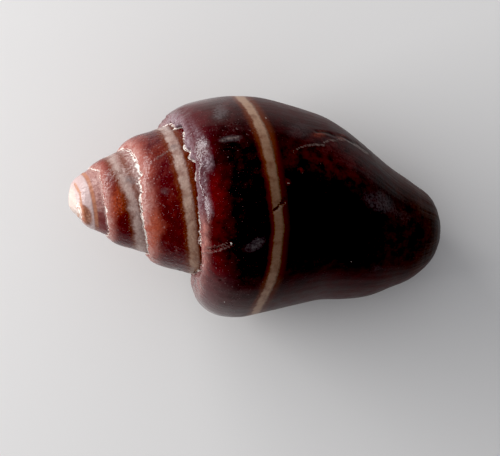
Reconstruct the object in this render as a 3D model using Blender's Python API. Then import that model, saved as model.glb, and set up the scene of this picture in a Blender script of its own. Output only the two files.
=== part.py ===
"""A mitre shell, one closed piece, lying on its underside with the apex to -X.

The form is grown as a spiral: one profile line, from suture to anterior tip, turns round
the shell's axis and grows. The hollow behind the aperture is cut out with a second spiral.
"""
import math

import bmesh
import bpy
import numpy as np
from mathutils import Matrix, Vector

MM = 0.001

# Growth of the spiral. Turns are counted from the apex; a whole turn faces the shell's
# upper side (+Y), a quarter turn more faces up (+Z) when the shell lies at rest.
TURN_GROWTH = 1.43
ROWS_PER_TURN = 42
ROW_COUNT = 175
LIP_TURN = 4.59
FIRST_TURN = LIP_TURN - ROW_COUNT / ROWS_PER_TURN
SCALE_TURN = 4.5
SUTURE_ALONG = 10.81
SUTURE_RADIUS = 4.94
APEX_RISE = 0.67
APEX_FADE = 0.47
APEX_ROUND = 0.76
NOSE_ALONG = 26.4

# Bulge of a whorl over its straight side, as a share of that side's length
BULGE_TURNS = (0.4, 2.0, 3.0, 3.5, 4.0, 4.5, 4.6)
BULGE_SHARES = (0.17, 0.085, 0.13, 0.11, 0.17, 0.345, 0.335)
BULGE_STATIONS = (0.05, 0.17, 0.38, 0.68)
BULGE_POWERS = (0.7, 0.52)
BULGE_PEAKS = (0.32, 0.373)
FULL_FROM_TURN = 3.5

# Lift of the last whorl where the next suture would be, which keeps its profile evenly curved
LIFT_TURNS = (3.79, 4.0, 4.25, 4.5)
LIFT_SHARES = (0.0, 0.015, 0.036, 0.036)

# Radius of the base below the next suture, as a share of that suture's radius
BASE_STATIONS = (0.12, 0.27, 0.42, 0.57, 0.72, 0.85, 0.95)
BASE_TURNS = (3.59, 3.79, 4.0, 4.5)
BASE_SHARES = (
    (0.950, 0.840, 0.700, 0.570, 0.480, 0.385, 0.245),
    (0.920, 0.800, 0.690, 0.600, 0.540, 0.470, 0.345),
    (1.001, 0.926, 0.823, 0.713, 0.593, 0.497, 0.342),
    (0.978, 0.924, 0.858, 0.739, 0.558, 0.416, 0.258),
)

# The anterior end leans to one side and the spire leans a little the other way
NOSE_SHIFT = 2.2
NOSE_SHIFT_FROM = 18.1
NOSE_SHIFT_TO = 25.3
SPIRE_LEAN = math.radians(2.2)
SPIRE_LEAN_ABOUT = 11.0
SPIRE_LEAN_LENGTH = 8.0

# Where the vertices stand on a profile, as shares of its length
WHORL_STATIONS = (0.0, 0.04, 0.10, 0.18, 0.28, 0.39, 0.51, 0.63, 0.76, 0.88, 1.0)
BASE_VERTEX_STATIONS = (
    0.03, 0.06, 0.10, 0.145, 0.19, 0.24, 0.29, 0.33, 0.36, 0.395, 0.43, 0.465, 0.50, 0.535,
    0.57, 0.605, 0.64, 0.68, 0.73, 0.78, 0.83, 0.875, 0.915, 0.95, 0.98, 1.0,
)

# Aperture
WALL = 0.55
LIP_ROUNDING = ((0.20, 0.10), (0.28, 0.30))
LIP_END_COLUMNS = (4.0, 8.0)
CALLUS = 0.16
CALLUS_TURNS = 0.07
CALLUS_START = 0.06
CALLUS_END = 0.98
CALLUS_END_FADE = 0.12
FOLD_STATIONS = (0.36, 0.43, 0.50, 0.57)
FOLD_HEIGHTS = (0.32, 0.30, 0.24, 0.18)
FOLD_HALF_WIDTH = 0.030
LUMEN_STATIONS = (
    0.100, 0.125, 0.155, 0.19, 0.24, 0.29, 0.33, 0.36, 0.395, 0.43, 0.465, 0.50, 0.535, 0.57,
    0.605, 0.64, 0.70, 0.76, 0.82, 0.87, 0.91, 0.94,
)
LUMEN_DEPTH_TURNS = 0.80
LUMEN_ROWS = 26
LUMEN_OUTSIDE_TURNS = 0.03
LUMEN_CLEARANCE = 0.05
LUMEN_LEAST = 0.12
WALL_THINNED = 0.25
WALL_THIN_DEPTH = 6.0
TAPER_LENGTH = 0.07
TAPER_START = 0.28
DEEP_FROM = 0.55
DEEP_CLOSED = 0.55
CLOSING_LENGTH = 0.16
NOTCH_HALF_WIDTH = 0.42
NOTCH_TURNS = 0.09
NOTCH_FROM = 0.82
NOTCH_LENGTH = 0.12
NOTCH_BACK = 2.2
NOTCH_REACH = 2.9
NOTCH_RADIUS = 0.95

# Rest pose: turned so that the belly and the outer lip touch the table
REST_TILT = math.radians(13.3)
REST_ROLL = math.radians(-0.26)


def smooth(x):
    x = np.clip(x, 0.0, 1.0)
    return x * x * (3.0 - 2.0 * x)


def eased(x, stops, values):
    """Value at x between stops, eased in and out at each stop."""
    if x <= stops[0]:
        return np.asarray(values[0], float)
    if x >= stops[-1]:
        return np.asarray(values[-1], float)
    i = int(np.searchsorted(stops, x)) - 1
    t = smooth((x - stops[i]) / (stops[i + 1] - stops[i]))
    return np.asarray(values[i], float) * (1.0 - t) + np.asarray(values[i + 1], float) * t


def suture_point(turn):
    """Along and radius of the suture, the line where a whorl starts."""
    since = max(turn - FIRST_TURN, 0.0)
    scale = TURN_GROWTH ** (max(turn, FIRST_TURN) - SCALE_TURN)
    along = SUTURE_ALONG * scale + APEX_RISE * math.exp(-since / APEX_FADE)
    radius = SUTURE_RADIUS * scale * (1.0 - math.exp(-since / APEX_ROUND))
    return np.array((along, radius))


def bulge_height(x, power, peak):
    fall = power * (1.0 - peak) / peak
    return (x / peak) ** power * ((1.0 - x) / (1.0 - peak)) ** fall


def profile_knots(turn):
    """Knots of the profile: suture, whorl side, next suture, base, anterior tip."""
    start, end = suture_point(turn), suture_point(turn + 1.0)
    side = end - start
    length = np.linalg.norm(side)
    outward = np.array((-side[1], side[0])) / length
    height = eased(turn, BULGE_TURNS, BULGE_SHARES) * length
    fullness = smooth(turn - FULL_FROM_TURN)
    power = BULGE_POWERS[0] + (BULGE_POWERS[1] - BULGE_POWERS[0]) * fullness
    peak = BULGE_PEAKS[0] + (BULGE_PEAKS[1] - BULGE_PEAKS[0]) * fullness
    knots = [start]
    for x in BULGE_STATIONS:
        knots.append(start + side * x + outward * height * bulge_height(x, power, peak))
    knots.append(end + outward * length * eased(turn, LIFT_TURNS, LIFT_SHARES))
    for station, share in zip(BASE_STATIONS, eased(turn, BASE_TURNS, BASE_SHARES)):
        knots.append(np.array((end[0] + station * (NOSE_ALONG - end[0]), share * end[1])))
    knots.append(np.array((NOSE_ALONG, 0.0)))
    return np.array(knots)


def dense_profile(turn, steps=14):
    """Rounded line through the knots: points up to the next suture, and points after it."""
    knots = profile_knots(turn)
    before = 2.0 * knots[0] - knots[1]
    after = np.array((knots[-2][0], -knots[-2][1]))
    p = np.vstack((before, knots, after))
    gaps = np.maximum(np.linalg.norm(np.diff(p, axis=0), axis=1), 1e-6) ** 0.5
    t = np.concatenate(((0.0,), np.cumsum(gaps)))
    count = len(knots) - 1
    share = np.arange(steps) / steps
    pieces = []
    for i in range(1, count + 1):
        t0, t1, t2, t3 = t[i - 1:i + 3]
        p0, p1, p2, p3 = p[i - 1:i + 3]
        x = (t1 + share * (t2 - t1))[:, None]
        a1 = (t1 - x) / (t1 - t0) * p0 + (x - t0) / (t1 - t0) * p1
        a2 = (t2 - x) / (t2 - t1) * p1 + (x - t1) / (t2 - t1) * p2
        a3 = (t3 - x) / (t3 - t2) * p2 + (x - t2) / (t3 - t2) * p3
        b1 = (t2 - x) / (t2 - t0) * a1 + (x - t0) / (t2 - t0) * a2
        b2 = (t3 - x) / (t3 - t1) * a2 + (x - t1) / (t3 - t1) * a3
        pieces.append((t2 - x) / (t2 - t1) * b1 + (x - t1) / (t2 - t1) * b2)
    line = np.vstack(pieces + [knots[-1:]])
    cut = 5 * steps
    return line[:cut + 1], line[cut:]


def at_shares(line, shares):
    """Points at shares of a line's length."""
    lengths = np.concatenate(((0.0,), np.cumsum(np.linalg.norm(np.diff(line, axis=0), axis=1))))
    at = np.asarray(shares) * lengths[-1]
    return np.column_stack((np.interp(at, lengths, line[:, 0]), np.interp(at, lengths, line[:, 1])))


def outward_of(line):
    """Unit outward direction at each point of a profile line."""
    along = np.gradient(line, axis=0)
    normal = np.column_stack((-along[:, 1], along[:, 0]))
    return normal / np.maximum(np.linalg.norm(normal, axis=1), 1e-9)[:, None]


def fold_height(share):
    """Height of the columella folds at a share of the base's length."""
    share = np.asarray(share)
    height = np.zeros_like(share, dtype=float)
    for centre, top in zip(FOLD_STATIONS, FOLD_HEIGHTS):
        height += top * smooth(1.0 - np.abs(share - centre) / FOLD_HALF_WIDTH)
    return height


def callus_height(share):
    """Glaze on the inner lip, thinned to nothing at the suture and the tip."""
    share = np.asarray(share)
    ends = smooth(share / CALLUS_START) * smooth((CALLUS_END - share) / CALLUS_END_FADE)
    return (CALLUS + fold_height(share)) * ends


def inner_lip(turn, shares):
    """The columella side of the aperture, one turn before the given turn."""
    base = dense_profile(turn)[1]
    points = at_shares(base, shares)
    return points + outward_of(points) * callus_height(shares)[:, None]


def place(turn, points):
    """Profile points (along, radius) turned round the axis into the shell's own frame."""
    angle = 2.0 * math.pi * turn
    along, radius = points[:, 0], points[:, 1]
    shift = -NOSE_SHIFT * smooth((along - NOSE_SHIFT_FROM) / (NOSE_SHIFT_TO - NOSE_SHIFT_FROM))
    x, y, z = along, shift + radius * math.cos(angle), radius * math.sin(angle)
    lean = SPIRE_LEAN * (1.0 - smooth((along - SPIRE_LEAN_LENGTH) / SPIRE_LEAN_LENGTH))
    dx = x - SPIRE_LEAN_ABOUT
    x, y = (SPIRE_LEAN_ABOUT + dx * np.cos(lean) - y * np.sin(lean),
            dx * np.sin(lean) + y * np.cos(lean))
    return np.column_stack((x, y, z))


def profile_row(turn, whole):
    """Vertices of one growth line; the base is left out where a later whorl covers it."""
    side, base = dense_profile(turn)
    points = at_shares(side, WHORL_STATIONS)
    if not whole:
        return points
    base_points = at_shares(base, BASE_VERTEX_STATIONS)
    since = turn - (LIP_TURN - 1.0)
    if since < CALLUS_TURNS:
        fade = 1.0 - smooth(since / CALLUS_TURNS)
        raised = callus_height(BASE_VERTEX_STATIONS) * fade
        base_points = base_points + outward_of(base_points) * raised[:, None]
        base_points[-1] = (NOSE_ALONG, 0.0)
    return np.vstack((points, base_points))


def blank_mesh():
    """The whole outside with the aperture still closed: vertices and faces."""
    vertices, faces, rows = [], [], []
    side_count = len(WHORL_STATIONS)
    lip_row = ROW_COUNT
    first_whole = ROW_COUNT - ROWS_PER_TURN
    nose = None
    for i in range(ROW_COUNT + 1):
        turn = FIRST_TURN + i / ROWS_PER_TURN
        whole = i >= first_whole
        placed = place(turn, profile_row(turn, whole))
        row = []
        for j, point in enumerate(placed):
            if j == 0 and i >= ROWS_PER_TURN:
                row.append(rows[i - ROWS_PER_TURN][side_count - 1])
            elif whole and j == len(placed) - 1 and nose is not None:
                row.append(nose)
            else:
                vertices.append(point)
                row.append(len(vertices) - 1)
        if whole and nose is None:
            nose = row[-1]
        rows.append(row)

    # Rounded edge of the outer lip
    points = profile_row(LIP_TURN, True)
    normals = outward_of(points)
    last = len(points) - 1
    for advance, inset in LIP_ROUNDING:
        row = [rows[lip_row][0]]
        for j in range(1, last):
            ends = float(smooth(min(j / LIP_END_COLUMNS[0], (last - j) / LIP_END_COLUMNS[1])))
            radius = max(points[j, 1], 1.0)
            turn = LIP_TURN + advance * ends / radius / (2.0 * math.pi)
            moved = points[j] - normals[j] * inset * ends
            vertices.append(place(turn, moved[None, :])[0])
            row.append(len(vertices) - 1)
        row.append(nose)
        rows.append(row)

    for i in range(len(rows) - 1):
        count = min(len(rows[i]), len(rows[i + 1]))
        for j in range(count - 1):
            face = (rows[i][j], rows[i + 1][j], rows[i + 1][j + 1], rows[i][j + 1])
            face = tuple(dict.fromkeys(face))
            if len(face) >= 3:
                faces.append(face)

    # Apex: a low fan over the first turn and the small step beside it
    centre = rows[0][0]
    for i in range(1, ROWS_PER_TURN):
        faces.append((centre, rows[i + 1][0], rows[i][0]))
    faces.append(tuple(rows[0]))

    # Skin over the aperture, later cut away
    outer = rows[-1]
    inner = rows[first_whole][side_count - 1:]
    faces.extend(ladder(outer, inner))
    return vertices, faces


def ladder(outer, inner):
    """Triangles between two rows that share their first and last vertices."""
    faces = []
    a, b = 0, 0
    while a < len(outer) - 1 or b < len(inner) - 1:
        share_a = (a + 1) / (len(outer) - 1)
        share_b = (b + 1) / (len(inner) - 1)
        if b == len(inner) - 1 or (a < len(outer) - 1 and share_a <= share_b):
            face = (outer[a + 1], outer[a], inner[b])
            a += 1
        else:
            face = (outer[a], inner[b], inner[b + 1])
            b += 1
        if len(set(face)) == 3:
            faces.append(face)
    return faces


def lumen_ring(turn, depth):
    """Closed ring of the hollow at one turn; depth runs from 0 at the lip to 1 inside."""
    shares = np.array(LUMEN_STATIONS)
    side, base = dense_profile(turn)
    whole_outer = np.vstack((side, base[1:]))
    outer = at_shares(whole_outer, shares)
    inner = inner_lip(turn - 1.0, shares)
    across = inner - outer
    gap = np.linalg.norm(across, axis=1)
    direction = across / gap[:, None]
    wall = WALL * (1.0 - WALL_THINNED * smooth(1.0 - depth * WALL_THIN_DEPTH))
    free = np.maximum(gap - wall - LUMEN_CLEARANCE, LUMEN_LEAST)
    middle = outer + direction * (wall + free / 2.0)[:, None]
    taper = smooth((shares - shares[0]) / TAPER_LENGTH + TAPER_START) ** 0.5
    half = free / 2.0 * taper
    # Deep inside the hollow closes towards both ends
    half = half * (1.0 - DEEP_CLOSED * smooth((depth - DEEP_FROM) / (1.0 - DEEP_FROM)))
    near_lip = 1.0 - smooth((LIP_TURN - turn) / (0.5 * NOTCH_TURNS) - 1.0)
    closing = smooth((1.0 - shares) / CLOSING_LENGTH) ** 0.5
    half = half * (closing * (1.0 - near_lip) + near_lip)
    # At the lip the hollow runs out through the tip as the siphonal notch
    tail = np.clip((shares - NOTCH_FROM) / NOTCH_LENGTH, 0.0, 1.0)
    notch_along = NOSE_ALONG - NOTCH_BACK + NOTCH_REACH * tail
    notch = np.column_stack((notch_along, np.full_like(shares, NOTCH_RADIUS)))
    pull = smooth(tail) * near_lip
    middle = middle * (1.0 - pull[:, None]) + notch * pull[:, None]
    half = half * (1.0 - pull) + NOTCH_HALF_WIDTH * pull
    to_outer = middle - direction * half[:, None]
    to_inner = middle + direction * half[:, None]
    return np.vstack((to_outer, to_inner[::-1]))


def lumen_mesh():
    """The hollow, from outside the lip back along the spiral."""
    vertices, faces = [], []
    start = LIP_TURN + LUMEN_OUTSIDE_TURNS
    span = LUMEN_OUTSIDE_TURNS + LUMEN_DEPTH_TURNS
    ring_size = 2 * len(LUMEN_STATIONS)
    for i in range(LUMEN_ROWS + 1):
        turn = start - span * i / LUMEN_ROWS
        depth = max(LIP_TURN - turn, 0.0) / LUMEN_DEPTH_TURNS
        vertices.extend(place(turn, lumen_ring(turn, depth)))
    for i in range(LUMEN_ROWS):
        for j in range(ring_size):
            k = (j + 1) % ring_size
            a, b = i * ring_size, (i + 1) * ring_size
            faces.append((a + j, b + j, b + k, a + k))
    half = ring_size // 2
    last = LUMEN_ROWS * ring_size
    for j in range(half - 1):
        faces.append((j, j + 1, ring_size - 2 - j, ring_size - 1 - j))
        faces.append((last + ring_size - 1 - j, last + ring_size - 2 - j, last + j + 1, last + j))
    return vertices, faces


def new_object(name, vertices, faces, collection):
    mesh = bpy.data.meshes.new(name)
    mesh.from_pydata([tuple(float(c) * MM for c in v) for v in vertices], [], faces)
    mesh.validate()
    work = bmesh.new()
    work.from_mesh(mesh)
    bmesh.ops.recalc_face_normals(work, faces=work.faces)
    work.to_mesh(mesh)
    work.free()
    made = bpy.data.objects.new(name, mesh)
    collection.objects.link(made)
    return made


def shell_material():
    material = bpy.data.materials.new("glossy shell")
    material.use_nodes = True
    surface = material.node_tree.nodes["Principled BSDF"]
    surface.inputs["Base Color"].default_value = (0.10, 0.012, 0.010, 1.0)
    surface.inputs["Roughness"].default_value = 0.25
    surface.inputs["Metallic"].default_value = 0.0
    return material


def lay_down(shell):
    """Turn the cut shell into its rest pose, lowest point on z = 0, centred on the origin."""
    turned = Matrix.Rotation(REST_TILT, 4, "Y") @ Matrix.Rotation(REST_ROLL, 4, "X")
    shell.data.transform(turned)
    corners = np.array([v.co for v in shell.data.vertices])
    low, high = corners.min(axis=0), corners.max(axis=0)
    shift = Vector((-(low[0] + high[0]) / 2.0, -(low[1] + high[1]) / 2.0, -low[2]))
    shell.data.transform(Matrix.Translation(shift))


def main():
    for leftover in list(bpy.data.objects):
        bpy.data.objects.remove(leftover, do_unlink=True)
    parts = bpy.data.collections.new("mitre shell")
    cutters = bpy.data.collections.new("cutters")
    bpy.context.scene.collection.children.link(parts)
    bpy.context.scene.collection.children.link(cutters)

    shell = new_object("shell", *blank_mesh(), parts)
    shell.data.materials.append(shell_material())
    lumen = new_object("lumen cutter", *lumen_mesh(), cutters)
    lumen.hide_render = True
    lumen.display_type = "WIRE"

    cut = shell.modifiers.new("hollow", "BOOLEAN")
    cut.operation = "DIFFERENCE"
    cut.solver = "EXACT"
    cut.use_self = True
    cut.object = lumen
    graph = bpy.context.evaluated_depsgraph_get()
    cut_mesh = bpy.data.meshes.new_from_object(shell.evaluated_get(graph))
    shell.modifiers.clear()
    shell.data = cut_mesh
    lay_down(shell)


main()
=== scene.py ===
"""The looks of the mitre shell: its fine surface, its colours, the light and the camera.

The shell is grown again from the same sizes as its solid, with many more rows, and with the
relief that the solid leaves out: chipped sutures, wrinkles, growth lines, scars and pits.
"""
import math

import bpy
import numpy as np
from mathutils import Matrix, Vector


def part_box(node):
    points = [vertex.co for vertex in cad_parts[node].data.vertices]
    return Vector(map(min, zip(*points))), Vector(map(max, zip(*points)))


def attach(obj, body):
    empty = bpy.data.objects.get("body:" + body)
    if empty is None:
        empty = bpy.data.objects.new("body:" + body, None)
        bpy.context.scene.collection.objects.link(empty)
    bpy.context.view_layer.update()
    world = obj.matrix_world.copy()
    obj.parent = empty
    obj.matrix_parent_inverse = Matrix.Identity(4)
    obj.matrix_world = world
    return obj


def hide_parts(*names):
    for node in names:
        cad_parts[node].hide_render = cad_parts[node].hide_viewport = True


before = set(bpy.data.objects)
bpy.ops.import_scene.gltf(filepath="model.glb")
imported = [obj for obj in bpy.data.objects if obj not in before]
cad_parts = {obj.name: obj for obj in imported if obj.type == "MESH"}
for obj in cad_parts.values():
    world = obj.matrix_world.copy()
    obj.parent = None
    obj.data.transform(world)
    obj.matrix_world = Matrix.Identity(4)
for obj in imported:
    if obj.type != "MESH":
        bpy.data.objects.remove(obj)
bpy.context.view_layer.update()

MM = 0.001

# The photograph's frame, and where the camera of this scene stands over the shell
PHOTO_WIDTH = 500
PHOTO_HEIGHT = 456
ORIGIN_PIXEL = (257.0, 207.0)
PIXELS_PER_MM = 16.3
CAMERA_DISTANCE = 150.0
FOCUS_HEIGHT = 5.0
SENSOR_WIDTH = 36.0
SEEN_FROM_ABOVE = 0.05

# Growth of the spiral, as in the solid. A whole turn faces +Y, a quarter turn more faces up.
TURN_GROWTH = 1.43
ROWS_PER_TURN = 42
ROW_COUNT = 175
LIP_TURN = 4.59
FIRST_TURN = LIP_TURN - ROW_COUNT / ROWS_PER_TURN
SCALE_TURN = 4.5
SUTURE_ALONG = 10.81
SUTURE_RADIUS = 4.94
APEX_RISE = 0.67
APEX_FADE = 0.47
APEX_ROUND = 0.76
NOSE_ALONG = 26.4
BULGE_TURNS = (0.4, 2.0, 3.0, 3.5, 4.0, 4.5, 4.6)
BULGE_SHARES = (0.17, 0.085, 0.13, 0.11, 0.17, 0.345, 0.335)
BULGE_STATIONS = (0.05, 0.17, 0.38, 0.68)
BULGE_POWERS = (0.7, 0.52)
BULGE_PEAKS = (0.32, 0.373)
FULL_FROM_TURN = 3.5
LIFT_TURNS = (3.79, 4.0, 4.25, 4.5)
LIFT_SHARES = (0.0, 0.015, 0.036, 0.036)
BASE_STATIONS = (0.12, 0.27, 0.42, 0.57, 0.72, 0.85, 0.95)
BASE_TURNS = (3.59, 3.79, 4.0, 4.5)
BASE_SHARES = (
    (0.950, 0.840, 0.700, 0.570, 0.480, 0.385, 0.245),
    (0.920, 0.800, 0.690, 0.600, 0.540, 0.470, 0.345),
    (1.001, 0.926, 0.823, 0.713, 0.593, 0.497, 0.342),
    (0.978, 0.924, 0.858, 0.739, 0.558, 0.416, 0.258),
)
NOSE_SHIFT = 2.2
NOSE_SHIFT_FROM = 18.1
NOSE_SHIFT_TO = 25.3
SPIRE_LEAN = math.radians(2.2)
SPIRE_LEAN_ABOUT = 11.0
SPIRE_LEAN_LENGTH = 8.0
WALL = 0.55
CALLUS = 0.16
CALLUS_TURNS = 0.07
CALLUS_START = 0.06
CALLUS_END = 0.98
CALLUS_END_FADE = 0.12
FOLD_STATIONS = (0.36, 0.43, 0.50, 0.57)
FOLD_HEIGHTS = (0.32, 0.30, 0.24, 0.18)
FOLD_HALF_WIDTH = 0.030
REST_TILT = math.radians(13.3)
REST_ROLL = math.radians(-0.26)

# Fineness of the visual surface
FINE_ROWS_PER_TURN = 360
COLUMN_TURNS = (1.42, 2.42, 3.42)
SIDE_COLUMNS = (12, 22, 34, 46)
BASE_COLUMNS = 98
PROFILE_STEPS = 14
LIP_ROUNDING = ((0.06, 0.01), (0.14, 0.05), (0.21, 0.13), (0.25, 0.24))
LIP_END_SHARES = (0.08, 0.18)
LUMEN_DEPTH_TURNS = 0.55
LUMEN_ROWS = 40
LUMEN_SHARES = (0.10, 0.975)
LUMEN_LEAST = 0.10
WALL_THINNED = 0.25
LUMEN_NARROWS = (0.6, 0.75)
FAR = 9.0

# Relief
JAG_SHARE = 0.070
JAG_REACH = 0.60
SLIDE_REACH = 1.3
SHOULDER_CRUMB = 0.085
WRINKLE = 0.060
FOLD = 0.27
SWELL = 0.035
GROWTH_LINE = 0.008
CORD = 0.005
CORD_SPACING = 0.42
GROOVE_DEPTH = 0.040
GROOVE_HALF_WIDTH = 0.07
PALE_RIDGE = 0.02
PIT_DEPTH = 0.09
NOTCH_DEPTH = 0.08
SOFT_DEPTH = 0.015
APEX_WEAR = 0.03

# How far each suture strays along the spire's side, in mm, by turn, fitted to the photograph
SLIDE_TURNS = (1.9, 2.05, 2.11, 2.25, 2.44, 2.60, 2.90, 3.0, 3.08, 3.14, 3.19, 3.21, 3.26, 3.33,
               3.40, 3.50, 3.70, 3.95, 4.03, 4.07, 4.12, 4.137, 4.155, 4.18, 4.192, 4.203, 4.222,
               4.25, 4.30, 4.34, 4.37, 4.42, 4.47, 4.59)
SLIDES = (0.0, -0.15, 0.05, -0.10, 0.08, 0.0, 0.0, 0.05, 0.20, 0.26, 0.17, 0.0, -0.12, -0.08,
          0.05, 0.18, 0.10, 0.10, 0.33, 0.42, 0.30, 0.20, 0.36, 0.46, 0.56, 0.36, 0.23,
          0.23, 0.13, 0.20, 0.25, 0.20, 0.05, 0.0)

# Pale band: its middle's distance before the next suture, by turn, fitted to the photograph
BAND_TURNS = (1.1, 1.2, 1.35, 1.7, 2.03, 2.13, 2.23, 2.33, 2.43, 2.7, 3.03, 3.06, 3.10, 3.25,
              3.35, 3.45, 3.59, 3.80, 4.03, 4.06, 4.12, 4.15, 4.24, 4.30, 4.33, 4.36, 4.39, 4.42,
              4.45, 4.48, 4.59)
BAND_PLACES = (0.70, 0.87, 0.89, 0.80, 0.81, 0.95, 0.71, 0.50, 0.25, 0.25, 0.25, 0.38, 0.44, 0.47,
               0.41, 0.24, 0.05, -0.20, -0.44, -0.21, -0.18, -0.27, -0.25, -0.28, -0.10, 0.04,
               0.30, 0.65, 0.89, 0.88, 0.95)
BAND_HALF_WIDTH = 0.33

# Marks on the upper side, by pixels of the photograph
SCARS = (
    ((203, 250), (206, 249), (214, 249), (223, 246), (232, 243.5), (240, 241), (247, 236),
     (254, 228), (261, 223), (265, 218), (272, 212)),
    ((275, 210), (279, 206), (285, 199)),
    ((316, 132), (326, 133), (334, 135), (342, 137), (352, 142), (361, 147.5), (369, 154)),
)
PALE_LINES = (
    ((276, 211.5), (281, 207), (285, 203)),
    ((203, 253), (211, 252.5), (221, 249.5), (231, 246)),
    ((206, 247.5), (216, 247), (226, 243.5)),
    ((292, 153), (294, 151), (299, 148), (307, 146), (316, 145), (324, 146)),
    ((323, 143), (330, 140.5), (338, 140), (347, 141), (356, 145), (363, 150), (368, 154)),
    ((157, 159), (163, 154), (172, 147)),
    ((222, 141), (230, 138.5), (239, 136.5)),
)
# Soft pale marks, scuffs and painted reflections: middle, half length, half width, slope, strength
SOFT_MARKS = (
    ((220, 112.5), 9, 7, 40, 0.8),
    ((230, 139), 11, 3.5, 12, 0.7),
    ((255, 244.5), 13, 5.5, 32, 0.9),
    ((379, 203), 21, 9, -24, 0.55),
    ((402, 216), 12, 6, -25, 0.25),
    ((300, 130), 12, 9, 0, 0.3),
    ((174, 146), 4, 3, 0, 0.7),
    ((131, 180), 7, 4.5, -10, 0.9),
    ((376, 268), 6, 5, 0, 0.25),
    ((165, 190), 5, 4, 0, 0.35),
)
NOTCHES = (((273.5, 210.5), (279, 206), (284, 200)),)
# Broken pits and small light specks: middle and radius
PITS = (((299.5, 171), 2.2), ((220, 280), 1.7), ((179, 270), 1.4), ((288, 181), 1.5))
BROWN_LINES = (((75, 184), (79.5, 192), (80.5, 200), (79.5, 211), (77.5, 219)),)
SPECKS = (((320.3, 164), 0.8), ((266, 118.5), 0.9), ((352, 262), 0.7), ((302, 172.5), 0.8),
          ((297.5, 169), 0.7), ((224, 302), 0.6), ((289, 183), 0.9), ((253, 228), 0.5),
          ((237, 242.5), 1.0), ((231, 243.5), 1.2), ((283.5, 201), 1.0), ((227, 172), 0.4),
          ((246, 154), 0.4), ((105.5, 211.5), 2.0), ((99.5, 211), 1.6), ((137, 166), 2.4),
          ((201.5, 266), 1.0), ((199, 270.5), 0.9), ((195, 274), 1.1), ((203, 257), 0.6))
# Brighter pigment, wear and painted highlight, painted glow: middle, half length, half width,
# slope, strength
ORANGE_PATCHES = (
    ((118, 200), 20, 10, 80, 0.8),
    ((153, 232), 22, 8, 80, 0.9),
    ((85, 214), 13, 6.5, -60, 0.8),
    ((163, 148), 16, 9, 40, 0.25),
    ((320, 134), 7, 3, 10, 0.45),
    ((341, 137), 5, 3, -20, 0.35),
    ((291, 158), 8, 16, 0, 0.10),
    ((301, 170), 3.2, 2.8, 0, 0.40),
    ((289, 182), 2.5, 3.5, 0, 0.35),
)
# Wear on the body's shoulder, with its highlight painted in
WEAR_AND_HIGHLIGHT_PATCHES = (
    ((198, 137), 24, 6, -62, 0.40),
    ((207, 160), 13, 6, -70, 0.70),
    ((205, 192), 25, 5.5, -86, 0.45),
    ((208, 207), 11, 5.5, -86, 0.55),
)
# Red-brown mottling and painted glow of light through the shell
GLOW_PATCHES = (
    ((218, 205), 36, 12, 88, 0.62),
    ((217, 190), 14, 6, 80, 0.9),
    ((226, 232), 14, 9, 60, 0.28),
    ((217, 260), 22, 15, 70, 0.55),
    ((334, 160), 46, 22, -28, 0.8),
    ((392, 236), 26, 22, 30, 0.22),
)


# General

def smooth(x):
    x = np.clip(x, 0.0, 1.0)
    return x * x * (3.0 - 2.0 * x)


def eased(x, stops, values):
    """Value at x between stops, eased in and out at each stop."""
    if x <= stops[0]:
        return np.asarray(values[0], float)
    if x >= stops[-1]:
        return np.asarray(values[-1], float)
    i = int(np.searchsorted(stops, x)) - 1
    t = smooth((x - stops[i]) / (stops[i + 1] - stops[i]))
    return np.asarray(values[i], float) * (1.0 - t) + np.asarray(values[i + 1], float) * t


def lattice(cells, seed):
    """A number from 0 to 1 for each whole-number cell, the same on every run."""
    h = np.full(cells.shape[:-1], seed * 747796405 % 2**32, np.uint64)
    mask = np.uint64(0xFFFFFFFF)
    for axis in range(cells.shape[-1]):
        h = (h ^ (cells[..., axis].astype(np.int64).astype(np.uint64) & mask)) & mask
        h = (h * np.uint64(2654435761)) & mask
        h ^= h >> np.uint64(15)
        h = (h * np.uint64(2246822519)) & mask
        h ^= h >> np.uint64(13)
    return h.astype(float) / 2.0**32


def noise(points, seed):
    """Smooth noise from -1 to 1 at points of one, two or three coordinates."""
    low = np.floor(points)
    t = points - low
    t = t * t * (3.0 - 2.0 * t)
    total = np.zeros(points.shape[0])
    for corner in range(2 ** points.shape[1]):
        bits = np.array([(corner >> k) & 1 for k in range(points.shape[1])])
        weight = np.prod(np.where(bits, t, 1.0 - t), axis=1)
        total += weight * lattice(low + bits, seed)
    return total * 2.0 - 1.0


def rough(points, seed, octaves=3):
    """Noise with finer and weaker noise on top."""
    total = np.zeros(len(points))
    for k in range(octaves):
        total += noise(points * 2.0**k, seed + k) * 0.5**k
    return total / (2.0 - 0.5 ** (octaves - 1))


# The form, as in the solid

def suture_point(turn):
    since = max(turn - FIRST_TURN, 0.0)
    scale = TURN_GROWTH ** (max(turn, FIRST_TURN) - SCALE_TURN)
    along = SUTURE_ALONG * scale + APEX_RISE * math.exp(-since / APEX_FADE)
    radius = SUTURE_RADIUS * scale * (1.0 - math.exp(-since / APEX_ROUND))
    return np.array((along, radius))


def bulge_height(x, power, peak):
    fall = power * (1.0 - peak) / peak
    return (x / peak) ** power * ((1.0 - x) / (1.0 - peak)) ** fall


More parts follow.
